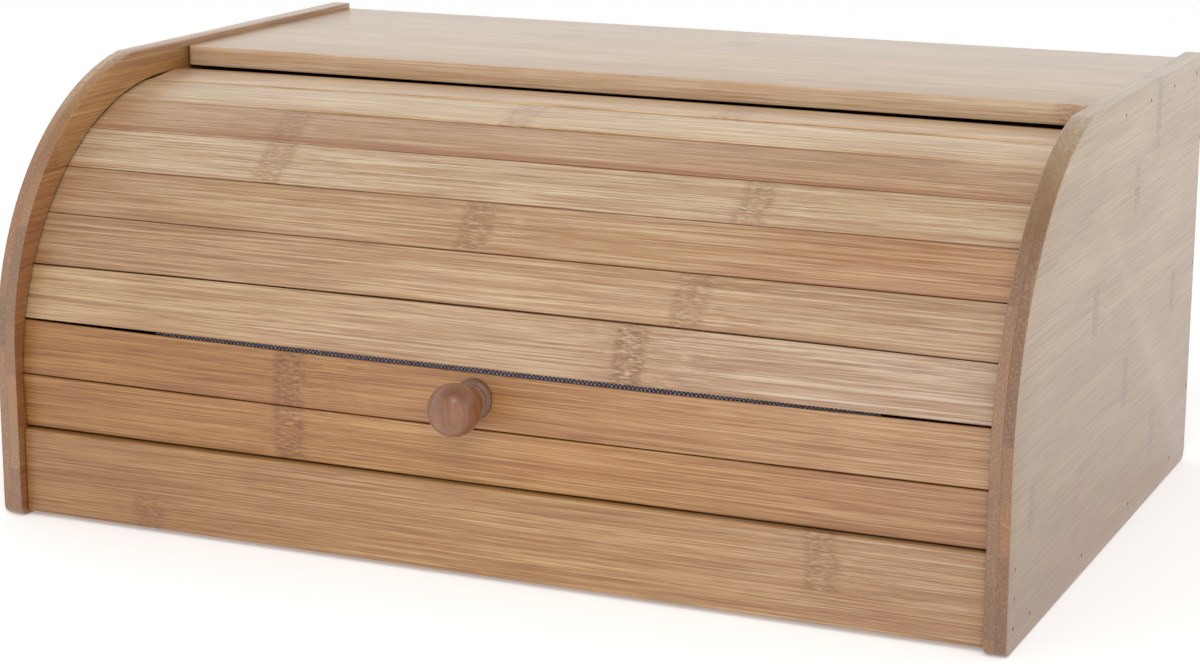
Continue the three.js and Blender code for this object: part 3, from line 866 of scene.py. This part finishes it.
def slat_section(index):
    (more_low, more_high), proud, _, tilt, *_ = SLAT_LOOKS[index]
    narrowing = WIDE_GAP if index == KNOB_SLAT else 0.0
    face, back = -FACE - proud, -FACE + SLAT_THICK - proud
    low, high = -SLAT_OUT - more_low, SLAT_OUT + more_high - narrowing
    ease, back_ease = SLAT_EASE, SLAT_BACK_EASE
    outline = (
        arc((face + ease, low + ease), ease, 180, 270, 5)
        + arc((back - back_ease, -SLAT_IN + back_ease), back_ease, 275, 360, 2)
        + arc((back - back_ease, SLAT_IN - narrowing - back_ease), back_ease, 0, 85, 2)
        + arc((face + ease, high - ease), ease, 90, 180, 5)
    )
    turn = math.radians(tilt)
    middle = (-FACE + SLAT_THICK / 2, 0.0)
    return [
        (
            middle[0] + (a - middle[0]) * math.cos(turn) - b * math.sin(turn),
            (a - middle[0]) * math.sin(turn) + b * math.cos(turn),
        )
        for a, b in outline
    ]


def slat_shape(index, dice):
    """Loft along X whose edges wander by less than a tenth of a millimetre."""
    outline = slat_section(index)
    skew = math.tan(math.radians(SLAT_LOOKS[index][4]))
    phases = [dice.uniform(0, 2 * math.pi) for _ in range(3)]
    rings = []
    stations = eased(-SLAT_HALF, SLAT_HALF, SLAT_END_EASE, 48)
    stations += [(sign * (TONGUE_START - t), 0.0) for sign in (-1, 1) for t in (0.0, TONGUE_STEP)]
    for x, inset in sorted(stations, key=lambda station: station[0]):
        lift = sum(
            size * math.sin(x / length + phase)
            for (size, length), phase in zip(EDGE_WAVES, phases)
        )
        out = FACE_WAVE[0] * math.sin(x / FACE_WAVE[1] + phases[2])
        rings.append([
            (x, a - out - bow(index, x, up_slat(b)), b + edge_rise(index, x, b) + lift + skew * x)
            for a, b in shrink(outline, inset)
        ])
    return loft(rings)


def cutter_shape(outline, inner, outer):
    """Bar along the knob slat's normal; inner and outer are heights from its face."""
    return loft([[(a, -FACE - height, b) for a, b in outline] for height in (outer, inner)])


def screw_hole(inner=-3 * SLAT_THICK, outer=3.0):
    """Hole for the knob's screw, by default right through the cloth and the slat."""
    return cutter_shape(circle((0, 0), SCREW_HOLE_RADIUS, 28), inner, outer)


def knob_back():
    """Everything behind the plane that the knob sits on, as far as its flange reaches."""
    half, depth = 20, 9
    square = [(-half, -half), (half, -half), (half, half), (-half, half)]
    return cutter_shape(square, -depth, KNOB_SEAT)


CLOTH_COLUMNS, CLOTH_STEPS = 96, 6  # along x, and up each slat
EDGE_SWAY, EDGE_SWAY_RATE = 0.45, 19  # mm that a side edge sways, and waves per turn
PUCKER, PUCKER_RIPPLE = 0.10, 0.04  # mm that the cloth is drawn in at each joint
RIPPLE_LENGTHS = (7.5, 4.1)  # mm along x per radian


def cloth_line(apothem):
    """Slat, share of its width, angle and radius of points behind the slats, hem to hem."""
    line = []
    for index in range(SLATS):
        top = index == SLATS - 1
        low = -PITCH / 2 + (CLOTH_HEM if index == 0 else 0)
        high = PITCH / 2 - (CLOTH_HEM if top else 0)
        for k in range(CLOTH_STEPS + top):
            off = low + (high - low) * k / CLOTH_STEPS
            angle = math.radians(slat_centre(index) + off)
            line.append((index, off / PITCH + 0.5, angle, apothem / math.cos(math.radians(off))))
    return line


def cloth_shape(dice):
    """A thin glued sheet: it follows the slats' backs, with a small pucker at each joint."""
    phases = [dice.uniform(0, 2 * math.pi) for _ in range(3)]
    outer_line = cloth_line(CLOTH_FACE)
    inner_line = cloth_line(CLOTH_FACE - CLOTH_THICK)
    rings = []
    for column in range(CLOTH_COLUMNS + 1):
        share = column / CLOTH_COLUMNS
        sway = EDGE_SWAY * max(0.0, 1 - 10 * min(share, 1 - share)) * (1 if share < 0.5 else -1)
        ring = []
        for index, share_up, angle, radius in outer_line + inner_line[::-1]:
            x = CLOTH_LEFT + (CLOTH_RIGHT - CLOTH_LEFT) * share
            x += sway * math.sin(angle * EDGE_SWAY_RATE + phases[0])
            turns = (math.degrees(angle) - FIRST) / PITCH
            joint = math.cos(2 * math.pi * turns) * 0.5 + 0.5
            ripple = sum(
                math.sin(x / length + phase) for length, phase in zip(RIPPLE_LENGTHS, phases[1:])
            )
            pucker = joint ** 6 * (PUCKER + PUCKER_RIPPLE * ripple)
            radius += bow(index, x, share_up) - pucker
            ring.append((x, -radius * math.cos(angle), radius * math.sin(angle)))
        rings.append(ring)
    return loft(rings)


KNOB_FLANGE, KNOB_NECK, KNOB_HEAD = 7.4, 4.6, 9.6  # radii
KNOB_CENTRE = 16.0  # height of the head's middle


def knob_profile():
    """Radius and height from the slat's face: flange with a bead, neck and round head."""
    flange, neck, head = KNOB_FLANGE, KNOB_NECK, KNOB_HEAD
    profile = [(0.0, -1.6), (flange, -1.6), (flange, 1.15), (flange - 0.12, 1.55)]
    profile += [(flange - 0.38, 1.9), (flange - 0.62, 2.05)]
    profile += [(flange - 0.75, 2.02), (flange - 0.86, 2.12), (flange - 1.1, 2.3)]
    for k in range(13):
        sweep = math.radians(90 * k / 12)
        profile.append((neck + 1.15 * (1 - math.sin(sweep)), 2.45 + 3.1 * (1 - math.cos(sweep))))
    first = math.degrees(math.asin(neck / head))
    ball = arc((0, KNOB_CENTRE), head, -90 + first, 90, 40)
    return profile + [(neck, 7.0)] + ball[:-1] + [(0.0, KNOB_CENTRE + head)]


SCREW_SEAT = -6.1  # height of the underside of its head
SCREW_HEAD, SCREW_HEAD_HEIGHT, SCREW_SHANK = 3.4, 2.0, 1.5  # radius, height, radius
THREAD_PITCH, THREAD_DEPTH = 1.3, 0.25
THREAD_LOW, THREAD_HIGH = -3.6, 9.6
RECESS_HALF, RECESS_REACH = 0.42, 1.9  # half the width and half the length of its slots


def screw_profile():
    """Radius and height from the slat's face: domed head, shank and tip."""
    seat, head, shank = SCREW_SEAT, SCREW_HEAD, SCREW_SHANK
    crown = seat - SCREW_HEAD_HEIGHT
    profile = [(0.0, crown)]
    profile += [(r, crown + 0.9 * (r / head) ** 4) for r in (1.2, 1.9, 2.5, 2.9, 3.2)]
    profile += [(head, seat - 0.9), (head, seat - 0.05), (head - 0.05, seat), (shank, seat)]
    profile += [(shank, seat + 0.2 + 0.2 * k) for k in range(78)]
    return profile + [(1.1, 10.2), (0.6, 11.0), (0.0, 11.5)]


def thread(angle, height):
    """Ridges of the wood screw, between its head and its tip."""
    if not THREAD_LOW < height < THREAD_HIGH:
        return 0.0
    phase = (height / THREAD_PITCH - angle / (2 * math.pi)) % 1.0
    return THREAD_DEPTH * max(0.0, 1 - abs(phase - 0.5) * 3.2)


def cross_recess():
    """Cutter for the crossed slots in the screw's head, narrower towards their floor."""
    half, reach, crown = RECESS_HALF, RECESS_REACH, SCREW_SEAT - SCREW_HEAD_HEIGHT
    outline = [
        (half, half), (half, reach), (-half, reach), (-half, half),
        (-reach, half), (-reach, -half), (-half, -half), (-half, -reach),
        (half, -reach), (half, -half), (reach, -half), (reach, half),
    ]
    return loft([
        [(a * share, -FACE - height, b * share) for a, b in outline]
        for height, share in ((crown - 1.0, 1.15), (crown, 1.0), (crown + 1.2, 0.55))
    ])


def build_slats(dice):
    names = []
    for index, (*_, knots, tone, ends, red_edge) in enumerate(SLAT_LOOKS):
        coat, specular = COATS.get(index, PLAIN_COAT)
        # The slats' tone factors and end factors carry painted light, and the two top slats get a
        # painted shadow below the top panel.
        wood = bamboo(f"bamboo_slat_{index + 1:02d}", "x", scaled(WOOD, *tone),
                      knots=[(at, -20, 20) for at in knots], seed=40 + 3 * index,
                      ends=ends, red_edge=red_edge, shades=PAINTED_SHADOW_UNDER_TOP.get(index, ()),
                      knot_strength=KNOT_STRENGTHS.get(index, PLAIN_KNOTS),
                      coat=coat, specular=specular)
        cuts = [screw_hole()] if index == KNOB_SLAT else ()
        slat = piece(f"tambour_slat_{index + 1:02d}", slat_shape(index, dice), wood, "tambour",
                     [f"slat_{index + 1:02d}"], slat_place(index), cuts)
        names.append(slat.name)
    return names


def build_cloth(dice):
    cloth = add_mesh("canvas_backing", cloth_shape(dice))
    carve(cloth, turned(screw_hole(), slat_turn(KNOB_SLAT)))
    dress(cloth, canvas(), 40)
    cloth.matrix_world = TRACK_PLACE
    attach(cloth, "tambour")
    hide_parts("backing_cloth")


def build_knob():
    slat = slat_turn(KNOB_SLAT)
    knob = piece("turned_knob", turned(lathe(knob_profile(), 96), knob_turn()),
                 knob_wood(KNOB_TONE), "tambour", ["knob"], TRACK_PLACE,
                 [turned(knob_back(), slat)], sharp=35)
    carve(knob, turned(screw_hole(KNOB_SEAT - 0.5, KNOB_HOLE_DEPTH), slat))
    metal = steel("screw_steel", srgb(176, 178, 182), srgb(128, 130, 136))
    piece("fixing_screw", lathe(screw_profile(), 36, thread), metal, "tambour",
          ["knob_screw"], slat_place(KNOB_SLAT), [cross_recess()], sharp=35)


def build_tambour():
    dice = random.Random(20)
    slat_names = build_slats(dice)
    build_cloth(dice)
    build_knob()


# ---- Studio: a light table under a pale tent, brightest near the horizon ----
HORIZON, ZENITH = 1.12, 0.34  # strength of the sky
SKY_RISE = 0.42  # height of a unit direction above which the sky starts to darken
FLOOR_GLOW = 0.25
FLOOR_HALF = 9000.0
FLOOR_DROP = 0.0003  # m that the floor lies below the case's feet


def build_studio():
    half = FLOOR_HALF
    corners = [(-half, -half, 0), (half, -half, 0), (half, half, 0), (-half, half, 0)]
    floor = add_mesh("floor", (corners, [(0, 1, 2, 3)]))
    floor.location.z = -FLOOR_DROP
    pale = bpy.data.materials.new("floor_paper")
    pale.use_nodes = True
    shader = pale.node_tree.nodes["Principled BSDF"]
    shader.inputs["Base Color"].default_value = srgb(246, 246, 246)
    shader.inputs["Roughness"].default_value = 0.9
    shader.inputs["Specular IOR Level"].default_value = 0.1
    shader.inputs["Emission Color"].default_value = WHITE
    shader.inputs["Emission Strength"].default_value = FLOOR_GLOW
    floor.data.materials.append(pale)

    world = bpy.data.worlds.new("studio")
    world.use_nodes = True
    tree = world.node_tree
    background = tree.nodes["Background"]
    direction = tree.nodes.new("ShaderNodeTexCoord")
    split = tree.nodes.new("ShaderNodeSeparateXYZ")
    tree.links.new(direction.outputs["Generated"], split.inputs[0])
    rise = Value(tree, split.outputs[2]).rise(SKY_RISE, 1.0, HORIZON, ZENITH)
    plug(tree, background.inputs["Strength"], rise)
    background.inputs["Color"].default_value = WHITE
    bpy.context.scene.world = world

    def softbox(name, energy, size, position, aim, colour, glossy):
        light = bpy.data.lights.new(name, "AREA")
        light.shape = "RECTANGLE"
        light.size, light.size_y = size
        light.energy = energy
        light.color = colour
        lamp = bpy.data.objects.new(name, light)
        bpy.context.scene.collection.objects.link(lamp)
        lamp.location = position
        lamp.visible_glossy = glossy
        lamp.rotation_euler = (Vector(aim) - Vector(position)).to_track_quat("-Z", "Y").to_euler()

    middle = (0, 0, 0.08)  # of the box, in metres, as are the lamps' sizes and positions
    softbox("front_softbox", 12, (1.2, 0.9), (0.7, -1.7, 1.3), middle, (1.0, 0.985, 0.96), False)
    softbox("key_softbox", 6, (0.6, 0.6), (0.47, -1.17, 1.80), middle, (1.0, 0.99, 0.97), True)


YAW, PITCH_DOWN, ROLL = 23.70, 13.43, 0.20  # degrees
CAMERA_DISTANCE = 1.1243
CAMERA_AIM = (-0.0031, 0.0, 0.0651)
LENS_MM, SENSOR_MM = 85.35, 36.0


def build_camera():
    """The photograph's viewpoint: from the front right, a little above the box."""
    yaw, pitch, roll = (math.radians(a) for a in (YAW, PITCH_DOWN, ROLL))
    flat = math.cos(pitch)
    back = Vector((math.sin(yaw) * flat, -math.cos(yaw) * flat, math.sin(pitch)))
    right = Vector((math.cos(yaw), math.sin(yaw), 0.0))
    up = back.cross(right)
    data = bpy.data.cameras.new("camera")
    data.sensor_width = SENSOR_MM
    data.lens = LENS_MM
    camera = bpy.data.objects.new("camera", data)
    bpy.context.scene.collection.objects.link(camera)
    tilted_right = math.cos(roll) * right + math.sin(roll) * up
    tilted_up = math.cos(roll) * up - math.sin(roll) * right
    turn = Matrix((tilted_right, tilted_up, back)).transposed()
    place = Vector(CAMERA_AIM) + back * CAMERA_DISTANCE
    camera.matrix_world = Matrix.Translation(place) @ turn.to_4x4()
    bpy.context.scene.camera = camera
    bpy.context.scene.view_settings.view_transform = "Standard"


build_camera()
build_sides()
build_boards()
build_brads()
build_tambour()
build_studio()
